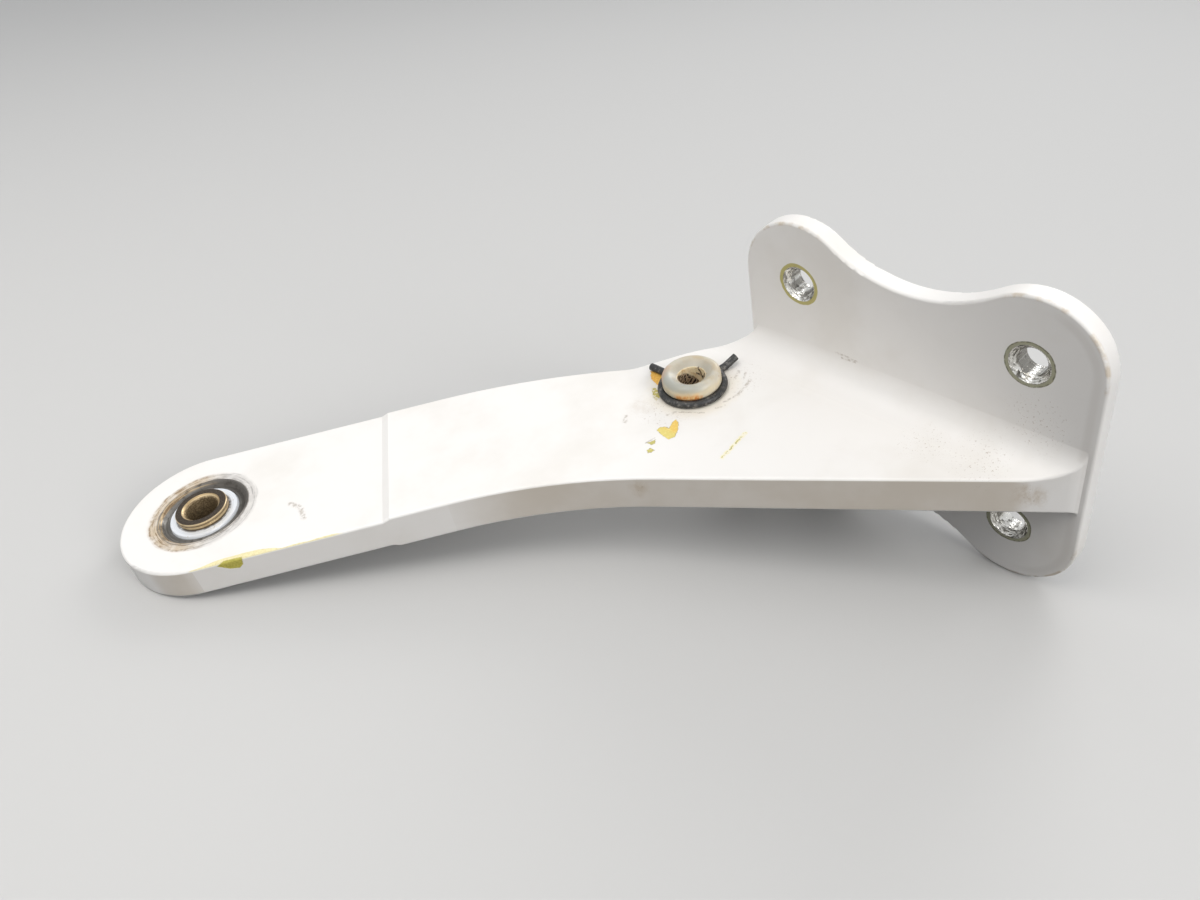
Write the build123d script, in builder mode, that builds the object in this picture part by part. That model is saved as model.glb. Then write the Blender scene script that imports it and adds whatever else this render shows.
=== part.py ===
from build123d import *
import math
import os

# Flap bracket: one machined plate with a slim arm, an eye at the arm's end and
# a four-hole flange across its root. A spherical bearing is staked in the eye,
# and a nylon bushing with a wire clip goes through the web near the flange.
# The origin is the bearing's centre, at mid thickness of the eye. +X is the
# flange normal, from the arm toward the structure the flange bolts to, +Y runs
# along the flange, and +Z is the bearing's axis. All sizes are millimetres.

# Arm and web
web_thickness = 7.5
eye_thickness = 6.35
arm_half_width = 16.3
arm_angle = -33.3
arm_length = 47.9
ramp_distance = 36.4
ramp_run = 1.4
front_bend_radius = 103.0
front_bend_angle = 21.4
back_bend_angle = 16.6
shoulder_radius = 8.0
shoulder_angle = 21.0
shoulder_length = 8.5
corner_radius = 6.0
edge_round = 0.5

# Flange
flange_face = 99.2
flange_thickness = 3.75
pattern_y = -89.6
pattern_z = 4.35
spacing_y = 44.45
spacing_z = 34.93
ear_radius = 12.2
scallop_depth = 6.9
cove_radius = 6.0
under_radius = 1.3
blend_overlap = 0.03
bolt_bore = 4.9
bolt_chamfer_width = 7.0
bolt_chamfer_angle = 90.0

# Spherical bearing
ball_diameter = 14.3
ball_width = 5.6
ball_clearance = 0.05
race_wall = 1.13
opening_depth = 0.875
land_width = 0.35
land_depth = 0.6
groove_inset = 0.58
groove_depth = 1.05
lip_width = 0.3
stake_chamfer = 0.62
sleeve_diameter = 10.1
sleeve_length = 8.71
sleeve_bore = 6.35
sleeve_inner_chamfer = 0.6
sleeve_outer_chamfer = 0.2

# Nylon bushing
bushing_x = 81.5
bushing_y = -54.6
bushing_diameter = 11.5
bushing_bore = 5.5
bushing_height = 4.2
bushing_rim_round = 1.1
bushing_rim_sweep = 120.0
bushing_dish_depth = 1.2
bushing_groove_depth = 0.4
bushing_flange_diameter = 15.5
bushing_flange_thickness = 1.6

# Wire clip
wire_diameter = 1.5
wire_headroom = 0.15
clip_bend_radius = 1.5
clip_back_angle = 91.0
clip_side_angle = -10.0
clip_back_reach = 11.0
clip_side_reach = 11.0
clip_rise_angle = 18.0
clip_rise_radius = 4.0

# Worked-out sizes
half_web = web_thickness / 2
half_eye = eye_thickness / 2
flange_back = flange_face + flange_thickness
blend_face = flange_face + blend_overlap
web_end = flange_face + flange_thickness / 2
near_side = pattern_y - spacing_y / 2 - ear_radius
far_side = pattern_y + spacing_y / 2 + ear_radius
arm_way = Vector(1, 0, 0).rotate(Axis.Z, arm_angle)
arm_side = arm_way.rotate(Axis.Z, 90)
flare_angle = front_bend_angle - arm_angle
flare_drop = corner_radius * (1 - math.cos(math.radians(flare_angle)))
margin = 5.0
close_to = 0.01
ball_seat = ball_diameter / 2 + ball_clearance
seat_radius = ball_seat + race_wall
opening_height = half_eye - opening_depth
opening_angle = math.degrees(math.asin(opening_height / ball_seat))
scallop_low = ear_radius - scallop_depth
scallop_radius = ((spacing_y / 2) ** 2 + scallop_low**2 - ear_radius**2) / (2 * scallop_depth)
scallop_centre = spacing_z / 2 + scallop_low + scallop_radius
scallop_angle = math.degrees(math.atan2(scallop_low + scallop_radius, spacing_y / 2))
pattern_centre = (flange_face, pattern_y, pattern_z)
flange_plane = Plane(origin=pattern_centre, x_dir=(0, 1, 0), z_dir=(1, 0, 0))
bolt_plane = Plane(origin=pattern_centre, x_dir=(0, 1, 0), z_dir=(-1, 0, 0))
bushing_section = Plane(origin=(bushing_x, bushing_y, 0), x_dir=(1, 0, 0), z_dir=(0, -1, 0))
bushing_axis = Axis((bushing_x, bushing_y, 0), (0, 0, 1))
neck_radius = bushing_diameter / 2 - bushing_groove_depth
clip_radius = neck_radius + wire_diameter / 2
clip_bend_centre = clip_radius + clip_bend_radius
clip_bend_lead = math.degrees(math.asin(clip_bend_radius / clip_bend_centre))
clip_leg_root = math.sqrt(clip_bend_centre**2 - clip_bend_radius**2)
clip_sweep = 360 + clip_side_angle - clip_back_angle - 2 * clip_bend_lead
rise_run = clip_rise_radius * math.sin(math.radians(clip_rise_angle))
rise_height = clip_rise_radius * (1 - math.cos(math.radians(clip_rise_angle)))
rise_straight = clip_side_reach - clip_leg_root - rise_run
clip_plane = Plane((bushing_x, bushing_y, half_web + wire_diameter / 2))

os.makedirs("parts", exist_ok=True)

# Flange plate: four ears round the bolt holes, with a shallow scallop between
with BuildPart() as flange:
    with BuildSketch(flange_plane):
        with BuildLine():
            scallop = CenterArc((0, scallop_centre), scallop_radius, -90, 90 - scallop_angle)
            ear_sweep = 180 - scallop_angle
            ear = CenterArc((spacing_y / 2, spacing_z / 2), ear_radius, ear_sweep, -ear_sweep)
            Line(ear @ 1, (spacing_y / 2 + ear_radius, 0))
            mirror(about=Plane.YZ)
            mirror(about=Plane.XZ)
        make_face()
    extrude(amount=flange_thickness)
    flange_rims = flange.faces().filter_by(Axis.X).edges()
    fillet(flange_rims, edge_round)

# Bracket: the section seen along the flange, cut to the plan outline
with BuildPart() as bracket:
    with BuildSketch(Plane.XZ):
        with BuildLine():
            top_face = Line((-arm_half_width - margin, half_web), (blend_face - cove_radius, half_web))
            cove = CenterArc((blend_face - cove_radius, half_web + cove_radius), cove_radius, -90, 90)
            under = CenterArc((blend_face - under_radius, -half_web - under_radius), under_radius, 90, -90)
            cove_end = Line(cove @ 1, (web_end, half_web + cove_radius))
            under_end = Line(under @ 1, (web_end, -half_web - under_radius))
            Line(cove_end @ 1, under_end @ 1)
            bottom_face = Line(under @ 0, (-arm_half_width - margin, -half_web))
            Line(bottom_face @ 1, top_face @ 0)
        make_face()
    extrude(amount=-near_side + margin, both=True)

    with BuildSketch(Plane.XY.offset(-half_web - under_radius)):
        with BuildLine():
            front_start = -arm_side * arm_half_width
            front_edge = Line(front_start, front_start + arm_way * arm_length)
            front_bend = JernArc(front_edge @ 1, arm_way, front_bend_radius, -front_bend_angle)
            flare_reach = (front_bend @ 1).Y - near_side - flare_drop
            flare_length = flare_reach / math.sin(math.radians(flare_angle))
            front_flare = PolarLine(front_bend @ 1, flare_length, -flare_angle)
            corner = JernArc(front_flare @ 1, front_flare % 1, corner_radius, flare_angle)
            near_edge = Line(corner @ 1, (flange_back, near_side))
            back_start = arm_side * arm_half_width
            back_edge = Line(back_start, back_start + arm_way * arm_length)
            back_bend_radius = front_bend_radius + 2 * arm_half_width
            back_bend = JernArc(back_edge @ 1, arm_way, back_bend_radius, -back_bend_angle)
            shoulder = JernArc(back_bend @ 1, back_bend % 1, shoulder_radius, shoulder_angle)
            back_flare = Line(shoulder @ 1, (shoulder @ 1) + (shoulder % 1) * shoulder_length)
            far_round = TangentArc(back_flare @ 1, (flange_face, far_side), tangent=back_flare % 1)
            far_edge = Line(far_round @ 1, (far_round @ 1) + (far_round % 1) * 2 * flange_thickness)
            Line(near_edge @ 1, far_edge @ 1)
            ThreePointArc(back_start, -arm_way * arm_half_width, front_start)
        make_face()
    extrude(amount=web_thickness + under_radius + cove_radius, mode=Mode.INTERSECT)

    # Eye: both faces step down past a short ramp
    with BuildSketch(Plane(origin=(0, 0, 0), x_dir=arm_way, z_dir=-arm_side)):
        with BuildLine():
            Polyline(
                (-arm_half_width - margin, half_eye),
                (ramp_distance - ramp_run / 2, half_eye),
                (ramp_distance + ramp_run / 2, half_web),
                (ramp_distance + ramp_run / 2, half_web + margin),
                (-arm_half_width - margin, half_web + margin),
                close=True,
            )
        make_face()
        mirror(about=Plane.XZ)
    extrude(amount=arm_half_width + margin, both=True, mode=Mode.SUBTRACT)

    # Rims rounded up to the flange, then the flange joined on
    walls = bracket.faces().filter_by(lambda face: abs(face.normal_at().Z) < close_to)
    wall_edges = walls.edges() - walls.edges().filter_by(Axis.Z)
    rims = wall_edges.filter_by(lambda edge: edge.center().X < flange_face)
    fillet(rims, edge_round)
    add(flange.part)

    # Bearing seat, web hole for the bushing and the bolt holes
    Hole(seat_radius)
    circles = bracket.edges().filter_by(GeomType.CIRCLE)
    seat_rims = circles.filter_by(lambda edge: abs(edge.radius - seat_radius) < close_to)
    chamfer(seat_rims, stake_chamfer)
    with Locations((bushing_x, bushing_y)):
        Hole(bushing_diameter / 2)
    with Locations(bolt_plane):
        with GridLocations(spacing_y, spacing_z, 2, 2):
            CounterSinkHole(bolt_bore / 2, bolt_chamfer_width / 2, flange_thickness, bolt_chamfer_angle)

bracket.part.label = "bracket"
export_step(bracket.part, "parts/bracket.step")

# Bearing race: outer ring staked into the eye's chamfers, with a groove in each
# face behind the staked lip and a spherical bore
with BuildPart() as bearing_race:
    with BuildSketch(Plane.XZ):
        with BuildLine():
            ball_arc = CenterArc((0, 0), ball_seat, 0, opening_angle)
            Polyline(
                ball_arc @ 1,
                ((ball_arc @ 1).X + land_width, half_eye - land_depth),
                (seat_radius - groove_inset, half_eye - groove_depth),
                (seat_radius + stake_chamfer - lip_width, half_eye),
                (seat_radius + stake_chamfer, half_eye),
                (seat_radius, half_eye - stake_chamfer),
                (seat_radius, 0),
            )
            mirror(about=Plane.XZ)
        make_face()
    revolve(axis=Axis.Z)

bearing_race.part.label = "bearing_race"
export_step(bearing_race.part, "parts/bearing_race.step")

# Ball: a steel sphere with flat ends, bored for the sleeve
with BuildPart() as bearing_ball:
    Sphere(ball_diameter / 2)
    Cylinder(ball_diameter, ball_width, mode=Mode.INTERSECT)
    Hole(sleeve_diameter / 2)

bearing_ball.part.label = "bearing_ball"
export_step(bearing_ball.part, "parts/bearing_ball.step")

# Sleeve: bronze tube through the ball, standing proud of the eye on both sides
with BuildPart() as bearing_sleeve:
    Cylinder(sleeve_diameter / 2, sleeve_length)
    outer_rims = bearing_sleeve.edges().filter_by(GeomType.CIRCLE)
    chamfer(outer_rims, sleeve_outer_chamfer)
    Hole(sleeve_bore / 2)
    inner_rims = bearing_sleeve.edges().filter_by(GeomType.CIRCLE).group_by(SortBy.RADIUS)[0]
    chamfer(inner_rims, sleeve_inner_chamfer)

bearing_sleeve.part.label = "bearing_sleeve"
export_step(bearing_sleeve.part, "parts/bearing_sleeve.step")

# Nylon bushing: pushed up through the web, with a flange under it, a groove for
# the clip just above it and a dished, rounded rim
with BuildPart() as nylon_bushing:
    with BuildSketch(bushing_section):
        with BuildLine():
            body = bushing_diameter / 2
            rim = half_web + bushing_height
            groove_top = half_web + wire_diameter + wire_headroom
            side = Polyline(
                (bushing_bore / 2, rim - bushing_dish_depth),
                (bushing_bore / 2, -half_web - bushing_flange_thickness),
                (bushing_flange_diameter / 2, -half_web - bushing_flange_thickness),
                (bushing_flange_diameter / 2, -half_web),
                (body, -half_web),
                (body, half_web),
                (neck_radius, half_web),
                (neck_radius, groove_top),
                (body, groove_top),
                (body, rim - bushing_rim_round),
            )
            rim_centre = (body - bushing_rim_round, rim - bushing_rim_round)
            rim_arc = CenterArc(rim_centre, bushing_rim_round, 0, bushing_rim_sweep)
            Line(rim_arc @ 1, side @ 0)
        make_face()
    revolve(axis=bushing_axis)

nylon_bushing.part.label = "nylon_bushing"
export_step(nylon_bushing.part, "parts/nylon_bushing.step")

# Wire clip: one spring wire round the bushing's groove, its ends bent outward
with BuildPart() as wire_clip:
    with BuildLine(clip_plane) as clip_line:
        back_leg = PolarLine((0, 0), clip_back_reach, clip_back_angle, mode=Mode.PRIVATE)
        back_way = back_leg % 1
        straight = Line(back_leg @ 1, back_leg @ 0 + back_way * clip_leg_root)
        back_bend = JernArc(straight @ 1, straight % 1, clip_bend_radius, clip_bend_lead - 90)
        ring = JernArc(back_bend @ 1, back_bend % 1, clip_radius, clip_sweep)
        side_bend = JernArc(ring @ 1, ring % 1, clip_bend_radius, clip_bend_lead - 90)
        rise_end = (side_bend @ 1) + (side_bend % 1) * rise_run + Vector(0, 0, rise_height)
        rise_bend = TangentArc(side_bend @ 1, rise_end, tangent=side_bend % 1)
        Line(rise_bend @ 1, (rise_bend @ 1) + (rise_bend % 1) * rise_straight)
    with BuildSketch(Plane(clip_line.line @ 0, z_dir=clip_line.line % 0)):
        Circle(wire_diameter / 2)
    sweep(path=clip_line.line)

wire_clip.part.label = "wire_clip"
export_step(wire_clip.part, "parts/wire_clip.step")
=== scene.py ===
import math

import bpy
from mathutils import Matrix, Vector

# Flap bracket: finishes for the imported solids, with the floor, the light and the
# camera. The frame is in metres. The finishes work in millimetres in the bracket's
# own axes, so every place below can be measured on the solids.

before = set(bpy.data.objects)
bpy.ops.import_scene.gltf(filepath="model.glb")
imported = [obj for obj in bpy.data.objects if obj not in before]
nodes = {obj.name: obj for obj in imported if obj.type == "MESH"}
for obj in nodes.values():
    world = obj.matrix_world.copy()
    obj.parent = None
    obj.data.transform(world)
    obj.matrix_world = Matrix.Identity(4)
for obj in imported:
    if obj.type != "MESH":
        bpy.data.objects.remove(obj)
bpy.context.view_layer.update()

MILLIMETRES = 1000.0

# Sizes that the finishes share with the solids, in millimetres
WEB_TOP = 3.75
EYE_TOP = 3.175
ARM_ANGLE = math.radians(-33.3)
ARM_HALF_WIDTH = 16.3
FLANGE_FACE = 99.2
FLANGE_START = (98.5, 98.8)
PATTERN = (-89.6, 4.35)
HALF_SPACING = (22.225, 17.465)
BUSHING = (81.5, -54.6)

# The ways that the front wall's flare and the flange's back face
FLARE_WAY = (-0.762, -0.648, 0.0)
BACK_WAY = (1.0, 0.0, 0.0)

# Brown dirt, as a place, its reach and how strong it is, and specks of it, as a
# place and its reach
DIRT = (
    ((94.3, -117.0, 0.2), 3.6, 0.65),
    ((55.0, -65.2, 1.0), 3.4, 0.8),
    ((71.5, -50.0, WEB_TOP), 4.0, 0.25),
)
SPECKS = (
    ((98.5, -114.5, 11.5), 7.5),
    ((93.5, -108.0, 4.5), 7.0),
    ((92.0, -98.5, 4.0), 6.0),
    ((88.5, -60.0, WEB_TOP), 7.0),
    ((73.0, -55.0, WEB_TOP), 7.0),
)

# Scuffs, as two ends and a half width: a curved one on the arm, some round the
# bushing and two on the flange's face
SCUFFS = (
    ((12.3, -13.4, EYE_TOP), (13.0, -16.2, EYE_TOP), 0.5),
    ((13.0, -16.2, EYE_TOP), (12.0, -19.4, EYE_TOP), 0.5),
    ((67.8, -49.7, WEB_TOP), (66.4, -50.8, WEB_TOP), 0.4),
    ((64.3, -58.4, WEB_TOP), (66.4, -58.8, WEB_TOP), 0.16),
    ((72.7, -56.2, WEB_TOP), (74.2, -56.9, WEB_TOP), 0.3),
    ((74.2, -56.9, WEB_TOP), (77.0, -61.5, WEB_TOP), 0.18),
    ((79.4, -62.4, WEB_TOP), (81.0, -63.4, WEB_TOP), 0.2),
    ((81.6, -62.5, WEB_TOP), (84.6, -63.2, WEB_TOP), 0.22),
    ((84.6, -63.2, WEB_TOP), (87.0, -62.9, WEB_TOP), 0.3),
    ((87.0, -62.9, WEB_TOP), (89.6, -62.2, WEB_TOP), 0.35),
    ((88.4, -59.4, WEB_TOP), (90.6, -58.6, WEB_TOP), 0.3),
    ((89.4, -60.9, WEB_TOP), (90.9, -60.0, WEB_TOP), 0.25),
    ((99.1, -75.4, 9.7), (99.1, -79.9, 9.4), 0.22),
    ((99.1, -76.6, 8.9), (99.1, -79.7, 9.1), 0.2),
)

# Outlines of the places where the primer shows
CHIP_LEFT_LOBE = [(68.2, -57.5), (69.3, -57.6), (69.9, -58.2), (69.9, -59.1), (68.5, -60.9), (67.6, -60.1)]
CHIP_RIGHT_LOBE = [
    (69.9, -59.1), (72.0, -58.3), (72.6, -58.5), (71.9, -59.7),
    (70.4, -60.9), (68.7, -61.6), (67.6, -61.2), (67.6, -60.1),
]
SMALL_CHIP = [(64.5, -58.5), (65.1, -58.8), (66.2, -59.2), (65.3, -59.9), (64.6, -59.6)]
SMALLEST_CHIP = [(63.0, -60.0), (63.9, -60.1), (63.9, -61.1), (63.2, -61.2), (62.7, -60.7)]
CHIP_BY_BUSHING = [(76.9, -47.8), (77.7, -49.0), (75.6, -51.3), (74.5, -51.2), (75.0, -49.9)]
CHIPS = (CHIP_LEFT_LOBE, CHIP_RIGHT_LOBE, SMALL_CHIP, SMALLEST_CHIP, CHIP_BY_BUSHING)
ORANGE_PATCH = [(80.8, -43.6), (81.2, -44.8), (81.2, -46.6), (78.5, -49.0), (78.3, -47.6), (79.0, -45.6)]
OLIVE_PATCH = [(4.6, 2.6), (6.3, 3.3), (9.4, 3.1), (9.1, 1.7), (8.2, 1.0), (6.5, 1.35)]
SCRATCH = ((69.6, -72.6, WEB_TOP), (73.2, -72.1, WEB_TOP), (77.0, -71.6, WEB_TOP))

# Lint in the bushing's bore, as two ends and a half width: a clot and a few threads
LINT = (
    ((79.9, -52.6, 5.6), (82.2, -51.9, 4.6), 1.15),
    ((82.2, -51.9, 4.4), (83.5, -52.8, 3.2), 1.3),
    ((84.15, -54.0, 6.6), (84.2, -54.9, 4.4), 0.3),
    ((84.15, -54.9, 5.0), (84.1, -53.6, 5.2), 0.3),
    ((84.0, -55.9, 6.2), (84.2, -54.9, 4.6), 0.25),
)
LINT_CURLS = (((81.0, -52.3, 5.0), 9.0), ((82.9, -52.0, 3.8), 10.0))


def rgb(red, green, blue):
    """A colour written as it shows on a screen, 0 to 255, as linear light."""
    steps = [value / 255 for value in (red, green, blue)]
    line = [v / 12.92 if v <= 0.04045 else ((v + 0.055) / 1.055) ** 2.4 for v in steps]
    return (*line, 1.0)


class Look:
    """One material. Its methods add nodes and return the socket that holds the result."""

    def __init__(self, name):
        self.material = bpy.data.materials.new(name)
        self.material.use_nodes = True
        self.tree = self.material.node_tree
        self.tree.nodes.clear()
        self.shader = self.add("ShaderNodeBsdfPrincipled")
        output = self.add("ShaderNodeOutputMaterial")
        self.tree.links.new(self.shader.outputs[0], output.inputs["Surface"])
        place = self.add("ShaderNodeTexCoord")
        self.facing = place.outputs["Normal"]
        self.point = self.vector("SCALE", place.outputs["Object"], scale=MILLIMETRES)
        self.x, self.y, self.z = self.split(self.point)

    def add(self, kind, **settings):
        node = self.tree.nodes.new(kind)
        for name, value in settings.items():
            setattr(node, name, value)
        return node

    def put(self, socket, value):
        """Sets a socket to a number, or links another socket to it."""
        if isinstance(value, bpy.types.NodeSocket):
            self.tree.links.new(value, socket)
        else:
            socket.default_value = value

    def split(self, vector):
        node = self.add("ShaderNodeSeparateXYZ")
        self.put(node.inputs[0], vector)
        return node.outputs[0], node.outputs[1], node.outputs[2]

    def join(self, x, y, z):
        node = self.add("ShaderNodeCombineXYZ")
        for socket, value in zip(node.inputs, (x, y, z)):
            self.put(socket, value)
        return node.outputs[0]

    def calc(self, operation, *values, clamp=False):
        node = self.add("ShaderNodeMath", operation=operation, use_clamp=clamp)
        for socket, value in zip(node.inputs, values):
            self.put(socket, value)
        return node.outputs[0]

    def vector(self, operation, *values, scale=None):
        """Vector maths. A dot product and a distance come back as numbers."""
        node = self.add("ShaderNodeVectorMath", operation=operation)
        for socket, value in zip(node.inputs, values):
            self.put(socket, value)
        if scale is not None:
            self.put(node.inputs["Scale"], scale)
        return node.outputs["Value"] if operation in ("DOT_PRODUCT", "DISTANCE") else node.outputs[0]

    def chain(self, operation, values):
        result = values[0]
        for value in values[1:]:
            result = self.calc(operation, result, value)
        return result

    def plus(self, *values):
        return self.chain("ADD", values)

    def minus(self, *values):
        return self.chain("SUBTRACT", values)

    def times(self, *values):
        return self.chain("MULTIPLY", values)

    def most(self, *values):
        return self.chain("MAXIMUM", values)

    def least(self, *values):
        return self.chain("MINIMUM", values)

    def rise(self, value, low, high, top=1.0):
        """0 below low, top above high, smooth between. With low above high it falls instead."""
        node = self.add("ShaderNodeMapRange", interpolation_type="SMOOTHSTEP")
        ends = (low, high, 0.0, top) if low < high else (high, low, top, 0.0)
        for socket, given in zip(node.inputs, (value, *ends)):
            self.put(socket, given)
        return node.outputs[0]

    def band(self, value, middle, half, soft, top=1.0):
        """top within half of the middle value, 0 beyond half and soft."""
        away = self.calc("ABSOLUTE", self.minus(value, middle))
        return self.rise(away, half + soft, half, top)

    def noise(self, scale, detail, roughness, seed, stretch=None, at=None, colour=False):
        """Noise from about 0 to 1. scale is the number of features in a millimetre."""
        place = at or self.point
        if stretch:
            place = self.vector("MULTIPLY", place, stretch)
        place = self.vector("ADD", place, (17.0 * seed, 5.0 * seed, -11.0 * seed))
        node = self.add("ShaderNodeTexNoise")
        settings = {"Vector": place, "Scale": scale, "Detail": detail, "Roughness": roughness}
        for name, value in settings.items():
            self.put(node.inputs[name], value)
        return node.outputs["Color" if colour else 0]

    def turned(self, radius, rings, across, up, detail, roughness, seed):
        """Noise drawn out into rings round an axis, as a lathe or a turning part leaves."""
        place = self.join(self.times(radius, rings), across, up)
        return self.noise(1.0, detail, roughness, seed, at=place)

    def ragged(self, value, noise, size):
        """The value, moved up and down by that noise within that size."""
        return self.plus(value, self.times(self.minus(noise, 0.5), size))

    def shaken(self, size, scale, seed=0.0):
        """The point in millimetres, moved by noise of that size, for ragged outlines."""
        cloud = self.noise(scale, 3.0, 0.6, seed, colour=True)
        push = self.vector("SUBTRACT", cloud, (0.5, 0.5, 0.5))
        return self.vector("ADD", self.point, self.vector("SCALE", push, scale=2 * size))

    def length(self, x, y):
        return self.calc("SQRT", self.calc("MULTIPLY_ADD", x, x, self.times(y, y)))

    def radius(self, centre=(0.0, 0.0)):
        """Distance from an upright axis."""
        return self.length(self.minus(self.x, centre[0]), self.minus(self.y, centre[1]))

    def facing_way(self, way, low, high):
        """1 where the surface faces that way, 0 where it turns off."""
        return self.rise(self.vector("DOT_PRODUCT", self.facing, way), low, high)

    def outside(self, x, y, outline):
        """Rough distance outside a convex outline, negative inside it."""
        flat = self.join(x, y, 1.0)
        edges = list(zip(outline, outline[1:] + outline[:1]))
        turn = sum(a[0] * b[1] - b[0] * a[1] for a, b in edges)
        sides = []
        for a, b in edges:
            way = Vector((b[0] - a[0], b[1] - a[1])).normalized() * (1 if turn > 0 else -1)
            line = (way.y, -way.x, way.x * a[1] - way.y * a[0])
            sides.append(self.vector("DOT_PRODUCT", flat, line))
        return self.most(*sides)

    def stroke(self, place, a, b):
        """Distance from the line between two points in space."""
        start, end = Vector(a), Vector(b)
        run = end - start
        off = self.vector("SUBTRACT", place, start)
        passed = self.vector("DOT_PRODUCT", off, run)
        share = self.calc("MULTIPLY", passed, 1 / run.length_squared, clamp=True)
        return self.vector("DISTANCE", off, self.vector("SCALE", run, scale=share))

    def mix(self, below, above, mask):
        node = self.add("ShaderNodeMix", data_type="RGBA")
        self.put(node.inputs[0], mask)
        self.put(node.inputs[6], below)
        self.put(node.inputs[7], above)
        return node.outputs[2]

    def blend(self, below, above, mask):
        node = self.add("ShaderNodeMix", data_type="FLOAT")
        self.put(node.inputs[0], mask)
        self.put(node.inputs[2], below)
        self.put(node.inputs[3], above)
        return node.outputs[0]

    def bump(self, height, depth, normal=None):
        """Raises the surface by height times depth, in millimetres."""
        node = self.add("ShaderNodeBump")
        self.put(node.inputs["Strength"], 1.0)
        self.put(node.inputs["Distance"], depth / MILLIMETRES)
        self.put(node.inputs["Height"], height)
        if normal is not None:
            self.put(node.inputs["Normal"], normal)
        return node.outputs[0]

    def finish(self, **sockets):
        for name, value in sockets.items():
            self.put(self.shader.inputs[name.replace("_", " ")], value)
        return self.material


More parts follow.
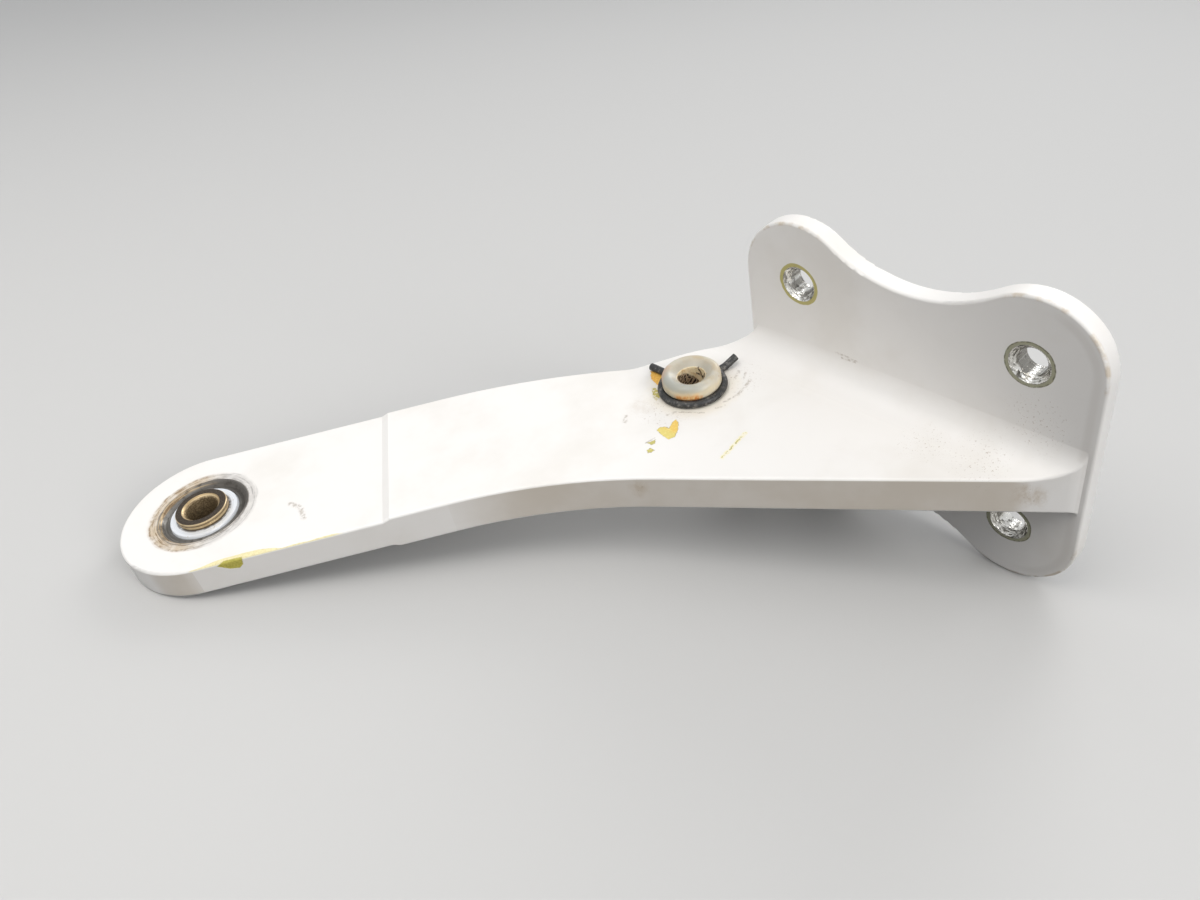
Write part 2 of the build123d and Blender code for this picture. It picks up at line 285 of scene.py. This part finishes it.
class Paint(Look):
    """White paint on the bracket. Each layer takes the colour below and returns its own."""

    def __init__(self):
        super().__init__("white_paint")
        cosine, sine = math.cos(ARM_ANGLE), math.sin(ARM_ANGLE)
        self.along = self.plus(self.times(self.x, cosine), self.times(self.y, sine))
        self.across = self.minus(self.times(self.y, cosine), self.times(self.x, sine))
        self.on_web = self.band(self.z, WEB_TOP, 0.15, 0.2)
        self.on_eye = self.band(self.z, EYE_TOP, 0.2, 0.2)
        self.at_flange = self.rise(self.x, *FLANGE_START)
        self.cloud = self.noise(0.05, 4.0, 0.6, 5.0)
        self.smear = self.noise(0.35, 4.0, 0.6, 8.0)
        self.speck = self.noise(1.6, 4.0, 0.7, 3.0)
        self.grit = self.noise(2.6, 3.0, 0.7, 51.0)
        far_y = self.calc("ABSOLUTE", self.minus(self.y, PATTERN[0]))
        far_z = self.calc("ABSOLUTE", self.minus(self.z, PATTERN[1]))
        self.fold_y = self.minus(far_y, HALF_SPACING[0])
        self.fold_z = self.minus(far_z, HALF_SPACING[1])

    def ground(self):
        """Paint, with faint clouds of handling dirt and a warmer patch round the bushing."""
        clean, clouded = rgb(236, 233, 229), rgb(229, 225, 219)
        spot, warm = rgb(196, 186, 172), rgb(226, 213, 186)
        colour = self.mix(clean, clouded, self.rise(self.cloud, 0.42, 0.75))
        spots = self.times(self.rise(self.speck, 0.68, 0.8), self.rise(self.smear, 0.5, 0.7), 0.5)
        colour = self.mix(colour, spot, spots)
        reach = self.plus(self.radius(BUSHING), self.times(self.smear, 3.0))
        return self.mix(colour, warm, self.times(self.rise(reach, 12.0, 8.0), self.on_web, 0.45))

    def wall_dirt_and_shade(self, colour):
        """The front wall's warm painted shade on its flare toward the flange, brown dirt on it, and fine
        specks.
        """
        tint, brown, dark = rgb(199, 189, 175), rgb(184, 166, 142), rgb(146, 122, 96)
        patches = []
        for place, reach, amount in DIRT:
            near = self.ragged(self.vector("DISTANCE", self.point, place), self.smear, reach)
            patches.append(self.rise(near, reach, reach * 0.3, amount))
        below_top = self.rise(self.z, WEB_TOP - 0.1, WEB_TOP - 0.7)
        left_of_bushing = self.rise(self.x, 76.0, 74.0)
        self.dirt = self.times(self.most(*patches), self.most(below_top, left_of_bushing))
        # Painted shade: where the wall flares toward the flange it is darkened and warmed by the way it
        # faces, up to the corner
        flare = self.facing_way(FLARE_WAY, 0.95, 0.995)
        uneven = self.blend(0.75, 1.0, self.rise(self.cloud, 0.35, 0.65))
        before_corner = self.rise(self.y, -117.5, -114.5)
        colour = self.mix(colour, tint, self.times(flare, uneven, before_corner, 0.85))
        rubbed = self.noise(0.5, 4.0, 0.65, 53.0, stretch=(1.0, 1.0, 0.5))
        colour = self.mix(colour, brown, self.times(self.dirt, self.rise(rubbed, 0.3, 0.7)))
        areas = [
            self.rise(self.vector("DISTANCE", self.point, place), reach, reach * 0.3)
            for place, reach in SPECKS
        ]
        specks = self.times(self.most(*areas, self.dirt), self.rise(self.grit, 0.61, 0.67))
        return self.mix(colour, dark, self.times(specks, 0.6))

    def rubbed_back(self, colour):
        """The flange's back, faintly rubbed where it sat on the structure."""
        back = self.facing_way(BACK_WAY, 0.9, 0.98)
        rub = self.noise(0.1, 4.0, 0.6, 71.0)
        fret = self.noise(0.7, 4.0, 0.7, 73.0)
        colour = self.mix(colour, rgb(206, 200, 191), self.times(back, self.rise(rub, 0.42, 0.66), 0.45))
        marks = self.times(back, self.rise(rub, 0.5, 0.7), self.rise(fret, 0.52, 0.68), 0.35)
        return self.mix(colour, rgb(168, 158, 146), marks)

    def bearing_stain(self, colour):
        """Rings round the bearing: grey near the arm's front edge, brown away from it."""
        grey_film, brown_film = rgb(203, 199, 194), rgb(196, 178, 152)
        grey_line, brown_line = rgb(160, 156, 152), rgb(136, 112, 82)
        outer_brown, seam = rgb(140, 112, 82), rgb(96, 86, 76)
        radius = self.radius()
        edge = self.ragged(radius, self.smear, 0.8)
        rings = self.turned(radius, 3.6, self.times(self.x, 0.22), self.times(self.y, 0.22), 3.0, 0.6, 21.0)
        patchy = self.rise(self.noise(0.55, 4.0, 0.65, 23.0), 0.36, 0.6)
        brown_side = self.rise(self.plus(self.times(self.y, 0.6), self.times(self.x, -0.8)), -4.0, 4.0)
        self.stain = self.times(self.rise(edge, 11.2, 10.0), self.on_eye)
        film = self.mix(grey_film, brown_film, brown_side)
        colour = self.mix(colour, film, self.times(self.stain, self.blend(0.55, 0.95, patchy)))
        line = self.mix(grey_line, brown_line, brown_side)
        lines = self.times(self.stain, self.rise(rings, 0.48, 0.6), self.blend(0.4, 0.9, patchy))
        colour = self.mix(colour, line, lines)
        broken = self.rise(self.speck, 0.35, 0.6)
        outer = self.times(self.band(edge, 10.4, 0.08, 0.25), self.on_eye, broken, brown_side, patchy, 0.8)
        colour = self.mix(colour, outer_brown, outer)
        return self.mix(colour, seam, self.times(self.rise(edge, 9.2, 9.0), self.on_eye, 0.7))

    def scuffs(self, colour):
        place = self.shaken(0.28, 0.9)
        marks = [
            self.rise(self.stroke(place, a, b), half * 1.6, half * 0.2)
            for a, b, half in SCUFFS
        ]
        broken = self.rise(self.speck, 0.38, 0.6)
        return self.mix(colour, rgb(172, 161, 148), self.times(self.most(*marks), broken, 0.75))

    def scratch(self, colour):
        """A broken scratch in front of the bushing, olive primer in a pale yellow halo."""
        start, bend, end = SCRATCH
        wavy = self.shaken(0.4, 1.2, 6.0)
        away = self.least(self.stroke(wavy, start, bend), self.stroke(wavy, bend, end))
        broken = self.rise(self.noise(1.1, 2.0, 0.6, 61.0), 0.44, 0.52)
        halo = self.times(self.rise(away, 0.6, 0.15), self.blend(0.35, 0.8, broken))
        self.scratch_mask = self.times(self.rise(away, 0.22, 0.06), broken)
        return self.mix(colour, rgb(238, 228, 172), halo)

    def primer_shade(self):
        """The chips' primer: yellow, ochre in the right lobe, olive in the small ones."""
        yellow, ochre = rgb(222, 204, 116), rgb(230, 192, 96)
        olive, pale, dark = rgb(184, 178, 104), rgb(240, 224, 150), rgb(104, 98, 60)
        right_lobe = self.rise(self.plus(self.x, self.times(self.smear, 2.0)), 69.5, 71.5)
        small_ones = self.rise(self.x, 67.0, 66.4)
        by_bushing = self.rise(self.x, 74.0, 74.4)
        colour = self.mix(yellow, ochre, right_lobe)
        colour = self.mix(colour, olive, self.times(self.most(small_ones, by_bushing), 0.8))
        colour = self.mix(colour, pale, self.rise(self.grit, 0.5, 0.66, 0.6))
        return self.mix(colour, dark, self.times(by_bushing, self.rise(self.grit, 0.56, 0.64), 0.8))

    def chips(self, colour):
        """Chips by the bushing with a dark broken edge, and the orange patch behind it."""
        x, y, z = self.split(self.shaken(0.34, 1.5, 4.0))
        chips = self.least(*[self.outside(x, y, outline) for outline in CHIPS])
        orange = self.outside(x, y, ORANGE_PATCH)
        clear_of_bushing = self.rise(self.x, 73.6, 73.2)
        broken = self.rise(self.noise(1.4, 3.0, 0.7, 45.0), 0.44, 0.5)
        whole = self.most(clear_of_bushing, broken)
        self.chip_mask = self.times(self.rise(chips, 0.06, -0.06), self.on_web, whole)
        self.orange_mask = self.times(self.rise(orange, 0.06, -0.06), self.on_web)
        self.chip_depth = self.times(self.rise(self.least(chips, orange), 0.06, -0.06), self.on_web)
        colour = self.mix(colour, self.primer_shade(), self.chip_mask)
        dark = self.rise(self.speck, 0.42, 0.56)
        edge = self.times(self.band(chips, 0.02, 0.02, 0.07), self.on_web, dark, clear_of_bushing)
        colour = self.mix(colour, rgb(146, 126, 74), self.times(edge, 0.7))
        grain = self.rise(self.grit, 0.4, 0.6)
        colour = self.mix(colour, self.mix(rgb(240, 192, 92), rgb(226, 168, 78), grain), self.orange_mask)
        return self.mix(colour, self.mix(rgb(192, 184, 112), rgb(160, 154, 104), grain), self.scratch_mask)

    def worn_front(self, colour):
        """The eye's front edge, worn to yellow, and the olive patch on the wall under it."""
        wide_part = self.band(self.along, 9.0, 2.5, 6.0, 0.9)
        narrow_part = self.band(self.along, 14.0, 13.0, 3.0, 0.3)
        width = self.ragged(self.plus(wide_part, narrow_part), self.smear, 0.5)
        edge = self.minus(width, self.plus(self.across, ARM_HALF_WIDTH))
        self.worn = self.times(
            self.rise(edge, 0.0, 0.12),
            self.rise(self.z, 2.75, 3.0),
            self.rise(self.along, -2.5, -1.0),
            self.rise(self.along, 29.0, 26.0),
            self.rise(self.x, 60.0, 50.0),
        )
        shade = self.mix(rgb(234, 222, 160), rgb(220, 204, 136), self.rise(self.grit, 0.4, 0.65))
        colour = self.mix(colour, shade, self.times(self.worn, 0.8))
        rough_along = self.ragged(self.along, self.noise(2.4, 3.0, 0.6, 21.0), 0.5)
        patch = self.outside(rough_along, self.z, OLIVE_PATCH)
        on_front = self.rise(self.across, -ARM_HALF_WIDTH + 0.5, -ARM_HALF_WIDTH + 0.3)
        self.olive = self.times(self.rise(patch, 0.12, -0.05), on_front)
        shade = self.mix(rgb(190, 180, 88), rgb(170, 160, 70), self.rise(self.grit, 0.4, 0.6))
        return self.mix(colour, shade, self.olive)

    def bolt_holes(self, colour):
        """Bare bright chamfer and bore, and a ring of primer where the paint stops."""
        hole = self.length(self.fold_y, self.fold_z)
        behind = self.times(self.rise(self.x, FLANGE_FACE + 1.2, FLANGE_FACE + 1.4), 0.97)
        self.bare = self.times(self.rise(self.plus(hole, behind), 3.56, 3.5), self.at_flange)
        edge = self.ragged(hole, self.smear, 0.5)
        on_front = self.rise(self.x, FLANGE_FACE + 0.3, FLANGE_FACE + 0.1)
        self.ring = self.times(self.rise(edge, 4.3, 4.16), on_front, self.at_flange)
        near_ear = self.rise(self.y, -80.0, -100.0)
        colour = self.mix(colour, self.mix(rgb(184, 174, 112), rgb(164, 162, 138), near_ear), self.ring)
        broken = self.rise(self.speck, 0.35, 0.6)
        outline = self.times(self.band(edge, 4.12, 0.05, 0.12), self.ring, broken, near_ear, 0.8)
        colour = self.mix(colour, rgb(84, 80, 62), outline)
        across, up = self.times(self.fold_y, 0.7), self.times(self.fold_z, 0.7)
        tool = self.turned(hole, 3.0, across, up, 2.0, 0.5, 31.0)
        dent = self.noise(0.9, 3.0, 0.65, 35.0)
        self.tool_marks = self.times(self.plus(tool, dent), self.bare)
        metal = self.mix(rgb(226, 224, 218), rgb(146, 143, 136), self.rise(tool, 0.42, 0.62))
        metal = self.mix(metal, rgb(84, 80, 72), self.rise(dent, 0.56, 0.66, 0.8))
        return self.mix(colour, metal, self.bare)

    def ear_rims(self, colour):
        """Brown tint along the ears' outer rims, and a soft line of painted shade inside the near one."""
        on_face = self.times(self.rise(self.x, FLANGE_FACE + 0.8, FLANGE_FACE + 0.3), self.at_flange)
        inset = self.length(self.fold_y, self.most(self.fold_z, 0.0))
        outer_side = self.times(self.rise(self.fold_y, -6.5, -4.0), self.rise(self.fold_z, -2.0, 1.0))
        rim = self.times(self.band(inset, 11.95, 0.15, 0.3), outer_side, on_face)
        colour = self.mix(colour, rgb(192, 172, 142), self.times(rim, self.rise(self.smear, 0.42, 0.62), 0.6))
        near_ear = self.times(self.rise(self.fold_y, 0.0, 6.0), self.rise(self.y, -100.0, -108.0))
        # Painted shade: a soft darker line inside the near ear's rim
        inner_shade = self.times(self.band(inset, 10.5, 0.2, 0.9), near_ear, on_face)
        return self.mix(colour, rgb(200, 194, 187), self.times(inner_shade, 0.25))

    def roughness(self):
        satin = self.blend(0.34, 0.46, self.rise(self.cloud, 0.4, 0.7))
        primer = self.most(self.chip_mask, self.orange_mask, self.scratch_mask, self.olive)
        worn = self.times(self.worn, 0.6)
        dull = self.blend(satin, 0.62, self.most(primer, worn, self.ring, self.stain, self.dirt))
        return self.blend(dull, 0.24, self.bare)

    def relief(self):
        """The paint's faint ripple, the depth of the chips, and tool marks in the bare holes."""
        peel = self.times(self.noise(0.9, 2.0, 0.5, 40.0), 0.12)
        normal = self.bump(self.minus(peel, self.most(self.chip_depth, self.olive)), 0.06)
        return self.bump(self.tool_marks, 0.25, normal)


def white_paint():
    k = Paint()
    colour = k.ground()
    for layer in (
        k.wall_dirt_and_shade, k.rubbed_back, k.bearing_stain, k.scuffs, k.scratch,
        k.chips, k.worn_front, k.bolt_holes, k.ear_rims,
    ):
        colour = layer(colour)
    return k.finish(Base_Color=colour, Roughness=k.roughness(), Metallic=k.bare, Normal=k.relief())


def race_steel():
    """Grey bearing steel, greasy in its groove. Its lip is pale at the arm's front edge
    and ringed with brown on the side away from it."""
    k = Look("race_steel")
    r = k.radius()
    turned = k.turned(r, 4.0, k.times(k.x, 0.12), k.times(k.y, 0.12), 3.0, 0.6, 2.0)
    dirt = k.noise(0.8, 4.0, 0.65, 6.0)
    brown_side = k.rise(k.plus(k.times(k.y, 0.6), k.times(k.x, -0.8)), -2.0, 4.0)
    front_side = k.rise(k.minus(k.times(k.x, -0.15), k.times(k.y, 0.98)), 0.0, 3.5)
    colour = k.mix(rgb(138, 135, 130), rgb(100, 97, 92), k.rise(turned, 0.35, 0.65))
    colour = k.mix(colour, rgb(86, 82, 77), k.times(k.rise(k.x, 0.0, 5.0), 0.7))
    lip = k.times(front_side, k.rise(k.ragged(r, dirt, 0.3), 8.05, 8.2), k.rise(k.x, 6.5, 3.5), 0.95)
    colour = k.mix(colour, rgb(202, 195, 187), lip)
    pale_rings = k.times(brown_side, k.rise(r, 8.1, 8.4), k.rise(turned, 0.4, 0.52))
    colour = k.mix(colour, rgb(190, 168, 134), pale_rings)
    dark_rings = k.times(brown_side, k.rise(r, 8.0, 8.2), k.rise(turned, 0.53, 0.6), 0.8)
    colour = k.mix(colour, rgb(112, 88, 62), dark_rings)
    colour = k.mix(colour, rgb(58, 52, 46), k.rise(dirt, 0.52, 0.7, 0.5))
    rough = k.blend(0.4, 0.72, k.rise(dirt, 0.35, 0.65))
    normal = k.bump(k.plus(turned, k.times(dirt, 0.8)), 0.06)
    return k.finish(Base_Color=colour, Metallic=0.5, Roughness=rough, Normal=normal)


def ball_steel():
    """Bright steel with faint turning lines, greasy next to the race, with painted shade round the sleeve's
    foot.
    """
    k = Look("ball_steel")
    r = k.radius()
    turned = k.turned(r, 6.0, k.times(k.x, 0.08), k.times(k.y, 0.08), 2.0, 0.5, 4.0)
    dirt = k.noise(0.7, 4.0, 0.6, 9.0)
    # Grease darkens the ball next to the race; the darkening next to the sleeve is painted shade at the
    # sleeve's foot
    by_race, shade_by_sleeve = k.rise(r, 6.85, 7.0), k.rise(r, 5.6, 5.2)
    dark_ring = k.times(k.most(by_race, shade_by_sleeve), k.rise(dirt, 0.3, 0.6))
    colour = k.mix(rgb(236, 239, 243), rgb(222, 226, 231), k.rise(turned, 0.4, 0.7))
    colour = k.mix(colour, rgb(74, 66, 56), k.times(dark_ring, 0.85))
    colour = k.mix(colour, rgb(186, 168, 140), k.rise(dirt, 0.62, 0.74, 0.6))
    rough = k.blend(k.blend(0.3, 0.4, k.rise(turned, 0.35, 0.7)), 0.7, dark_ring)
    return k.finish(Base_Color=colour, Metallic=0.3, Roughness=rough, Normal=k.bump(turned, 0.01))


def sleeve_bronze():
    """Bronze, bright on its edges, with a dark line round its side, painted shade round its foot next to the
    ball, and greasy ends.
    """
    k = Look("sleeve_bronze")
    r = k.radius()
    height = k.calc("ABSOLUTE", k.z)
    streak = k.turned(r, 2.0, k.times(k.x, 0.2), k.times(k.z, 3.0), 3.0, 0.6, 7.0)
    dirt = k.noise(0.9, 4.0, 0.65, 12.0)
    grain = k.noise(3.0, 4.0, 0.7, 17.0)
    end = k.times(k.rise(height, 4.1, 4.2), k.rise(r, 3.7, 3.78), k.rise(r, 5.0, 4.9))
    inside = k.rise(r, 3.45, 3.33)
    side = k.times(k.rise(r, 4.9, 5.0), k.rise(height, 4.2, 4.1))
    colour = k.mix(rgb(218, 196, 156), rgb(180, 154, 114), k.rise(streak, 0.35, 0.65))
    colour = k.mix(colour, rgb(84, 68, 48), k.times(side, k.band(height, 3.75, 0.08, 0.12), 0.7))
    # Painted shade round the foot of the side, where the sleeve stands out of the ball
    colour = k.mix(colour, rgb(70, 58, 44), k.times(side, k.rise(height, 3.3, 3.05), 0.8))
    dark_ring = k.mix(rgb(66, 58, 50), rgb(96, 86, 74), k.rise(grain, 0.45, 0.7))
    colour = k.mix(colour, dark_ring, k.times(end, k.rise(dirt, 0.15, 0.35)))
    bore = k.mix(rgb(112, 96, 72), rgb(176, 156, 122), k.rise(grain, 0.4, 0.7))
    colour = k.mix(colour, bore, k.times(inside, 0.92))
    colour = k.mix(colour, rgb(70, 58, 42), k.rise(dirt, 0.58, 0.75, 0.5))
    rough = k.blend(0.34, 0.65, k.most(end, inside, k.rise(dirt, 0.45, 0.7)))
    normal = k.bump(k.plus(streak, dirt), 0.03)
    return k.finish(Base_Color=colour, Metallic=0.7, Roughness=rough, Normal=normal)


def lint_and_bore_shade(k, colour, r, bore):
    """Dark curled lint in the nylon's bore, and painted shade at the bore's lower end."""
    clotted = k.shaken(0.4, 1.6, 8.0)
    clots = [k.rise(k.stroke(clotted, a, b), half, half * 0.7) for a, b, half in LINT]
    curls = []
    for centre, seed in LINT_CURLS:
        turns = k.vector("DISTANCE", k.shaken(0.5, 0.9, seed), centre)
        curls.append(k.rise(k.calc("PINGPONG", turns, 0.34), 0.2, 0.27))
    shade = k.mix(rgb(44, 34, 27), rgb(172, 152, 128), k.most(*curls))
    colour = k.mix(colour, shade, k.times(k.most(*clots), k.rise(r, 3.4, 3.0)))
    # Painted shade deep down in the bore
    return k.mix(colour, rgb(66, 50, 36), k.times(k.rise(k.z, 2.5, 0.0), bore))


def nylon():
    """Milky grey, stained orange at the front foot and pink at one side, cracked, with its dished top
    darkened by painted shade and painted shade deep in its bore.
    """
    k = Look("nylon")
    r = k.radius(BUSHING)
    cloud = k.noise(0.3, 4.0, 0.6, 3.0)
    fine = k.noise(1.8, 4.0, 0.6, 14.0)
    shaken = k.shaken(0.6, 0.8, 2.0)
    upper = k.rise(k.z, 6.4, 7.8)
    foot = k.rise(k.stroke(shaken, (76.2, -56.4, 5.4), (77.9, -59.0, 5.4)), 1.7, 0.5)
    side = k.rise(k.stroke(shaken, (77.2, -50.8, 6.8), (79.6, -49.4, 7.4)), 1.8, 0.3)
    crack = k.rise(k.stroke(k.shaken(0.2, 1.5, 5.0), (83.5, -56.6, 6.8), (83.9, -60.1, 7.4)), 0.2, 0.06)
    dish_shade = k.rise(r, 4.6, 3.2)
    bore = k.rise(r, 2.92, 2.8)
    colour = k.mix(rgb(214, 202, 176), rgb(198, 186, 158), k.rise(cloud, 0.35, 0.7))
    milky = k.mix(rgb(190, 185, 172), rgb(186, 173, 149), k.rise(cloud, 0.4, 0.6))
    colour = k.mix(colour, milky, k.times(upper, 0.9))
    colour = k.mix(colour, rgb(164, 166, 158), k.times(upper, k.rise(k.x, 81.0, 77.5), 0.85))
    colour = k.mix(colour, rgb(232, 186, 108), k.times(foot, 0.7))
    colour = k.mix(colour, rgb(206, 124, 50), k.times(foot, k.rise(fine, 0.35, 0.6), k.rise(k.z, 6.6, 5.6)))
    colour = k.mix(colour, rgb(196, 156, 126), k.times(side, 0.65))
    # Painted shade: the dished top is darkened to look deeper
    colour = k.mix(colour, rgb(176, 171, 158), k.times(dish_shade, 0.8))
    colour = k.mix(colour, rgb(158, 112, 74), k.times(crack, 0.8))
    colour = k.mix(colour, k.mix(rgb(226, 212, 180), rgb(204, 176, 134), k.rise(fine, 0.45, 0.7)), bore)
    colour = lint_and_bore_shade(k, colour, r, bore)
    rough = k.blend(0.34, 0.6, k.most(bore, foot))
    normal = k.bump(k.plus(k.times(cloud, 0.6), k.times(fine, 0.25)), 0.12)
    k.finish(Subsurface_Weight=0.5, Subsurface_Radius=(1.0, 0.85, 0.6), Subsurface_Scale=0.0015)
    return k.finish(Base_Color=colour, Roughness=rough, Normal=normal)


def spring_wire():
    """Blackened spring steel, rubbed lighter in streaks."""
    k = Look("spring_wire")
    rub = k.noise(1.2, 4.0, 0.65, 3.0)
    fine = k.noise(4.0, 2.0, 0.6, 11.0)
    colour = k.mix(rgb(58, 58, 58), rgb(122, 119, 114), k.rise(rub, 0.48, 0.72))
    colour = k.mix(colour, rgb(30, 29, 28), k.rise(fine, 0.55, 0.75))
    rough = k.blend(0.42, 0.62, k.rise(fine, 0.4, 0.7))
    return k.finish(Base_Color=colour, Metallic=0.5, Roughness=rough, Normal=k.bump(k.plus(rub, fine), 0.03))


FINISHES = {
    "bracket": white_paint,
    "bearing_race": race_steel,
    "bearing_ball": ball_steel,
    "bearing_sleeve": sleeve_bronze,
    "nylon_bushing": nylon,
    "wire_clip": spring_wire,
}
for node, finish in FINISHES.items():
    material = finish()
    for slot in nodes[node].material_slots:
        slot.material = material

# Floor: the bracket lies on its two lower ears and on the rim of its eye. The floor
# throws less light back on the bracket than it shows
FOOT = Vector((0.0997, -0.0896, -0.02538))
TILT = math.atan2(22.14, 115.5)
FLOOR_REACH = 8.0
FLOOR_SEEN = rgb(196, 195, 193)
FLOOR_SHADE = rgb(44, 43, 42)


def seen_ray(tree):
    """1 for rays from the camera or by way of metal or glass, 0 for the light they carry."""
    path = tree.nodes.new("ShaderNodeLightPath")
    result = path.outputs["Is Camera Ray"]
    for name in ("Is Glossy Ray", "Is Transmission Ray"):
        either = tree.nodes.new("ShaderNodeMath")
        either.operation = "MAXIMUM"
        tree.links.new(result, either.inputs[0])
        tree.links.new(path.outputs[name], either.inputs[1])
        result = either.outputs[0]
    return result


def floor_look():
    material = bpy.data.materials.new("floor")
    material.use_nodes = True
    tree = material.node_tree
    shader = tree.nodes["Principled BSDF"]
    colour = tree.nodes.new("ShaderNodeMix")
    colour.data_type = "RGBA"
    tree.links.new(seen_ray(tree), colour.inputs[0])
    colour.inputs[6].default_value = FLOOR_SHADE
    colour.inputs[7].default_value = FLOOR_SEEN
    tree.links.new(colour.outputs[2], shader.inputs["Base Color"])
    shader.inputs["Roughness"].default_value = 0.9
    return material


floor_corners = [(x * FLOOR_REACH, y * FLOOR_REACH, 0) for x, y in ((-1, -1), (1, -1), (1, 1), (-1, 1))]
floor_mesh = bpy.data.meshes.new("floor")
floor_mesh.from_pydata(floor_corners, [], [(0, 1, 2, 3)])
floor_mesh.materials.append(floor_look())
floor = bpy.data.objects.new("floor", floor_mesh)
floor.matrix_world = Matrix.Translation(FOOT) @ Matrix.Rotation(TILT, 4, "Y")
bpy.context.scene.collection.objects.link(floor)

# World: nearly white overhead and dimmer toward the horizon. What the camera, metal
# and glass see of it is plain and pale
SKY_COLOUR = (0.95, 0.97, 1.0, 1)
SKY_SEEN = 0.85
HORIZON = (0.0, 0.36)
OVERHEAD = (0.7, 0.72)
scene = bpy.context.scene
world = bpy.data.worlds.new("studio")
scene.world = world
world.use_nodes = True


def sky_look():
    tree = world.node_tree
    background = tree.nodes["Background"]
    background.inputs["Color"].default_value = SKY_COLOUR
    place = tree.nodes.new("ShaderNodeTexCoord")
    split = tree.nodes.new("ShaderNodeSeparateXYZ")
    tree.links.new(place.outputs["Generated"], split.inputs[0])
    lit = tree.nodes.new("ShaderNodeMapRange")
    tree.links.new(split.outputs[2], lit.inputs["Value"])
    ends = {"From Min": HORIZON[0], "From Max": OVERHEAD[0], "To Min": HORIZON[1], "To Max": OVERHEAD[1]}
    for name, value in ends.items():
        lit.inputs[name].default_value = value
    shown = tree.nodes.new("ShaderNodeMix")
    tree.links.new(seen_ray(tree), shown.inputs[0])
    tree.links.new(lit.outputs[0], shown.inputs[2])
    shown.inputs[3].default_value = SKY_SEEN
    tree.links.new(shown.outputs[0], background.inputs["Strength"])


sky_look()

# Lamps: a warm one overhead, one in front and one behind the flange
LAMP_TARGET = Vector((0.05, -0.05, 0.0))


def lamp(name, place, size, power, spread, colour=(1, 1, 1)):
    data = bpy.data.lights.new(name, "AREA")
    data.shape = "DISK"
    data.size = size
    data.energy = power
    data.spread = math.radians(spread)
    data.color = colour
    made = bpy.data.objects.new(name, data)
    made.location = place
    made.rotation_euler = (LAMP_TARGET - Vector(place)).to_track_quat("-Z", "Y").to_euler()
    scene.collection.objects.link(made)


lamp("key", (-0.2, 0.0, 0.72), 0.55, 2.5, 180, (1.0, 0.98, 0.95))
lamp("fill", (0.15, -1.25, 0.5), 0.7, 1.75, 80)
lamp("behind", (1.25, 0.25, 0.4), 0.7, 1.1, 80)

# Camera: where the photograph was taken from, worked out from the outlines
CAMERA_PLACE = Vector((-21.76, -167.41, 121.51)) / MILLIMETRES
CAMERA_RIGHT = Vector((0.7155, -0.6764, -0.1745)).normalized()
CAMERA_BACK = Vector((-0.4364, -0.6279, 0.6445)).normalized()
up = CAMERA_BACK.cross(CAMERA_RIGHT).normalized()
right = up.cross(CAMERA_BACK)
camera_data = bpy.data.cameras.new("camera")
camera_data.lens = 29.51
camera_data.sensor_width = 36.0
camera_data.clip_start = 0.01
camera_data.clip_end = 50.0
camera = bpy.data.objects.new("camera", camera_data)
camera_turn = Matrix((right, up, CAMERA_BACK)).transposed().to_4x4()
camera.matrix_world = Matrix.Translation(CAMERA_PLACE) @ camera_turn
scene.collection.objects.link(camera)
scene.camera = camera
scene.view_settings.view_transform = "Standard"
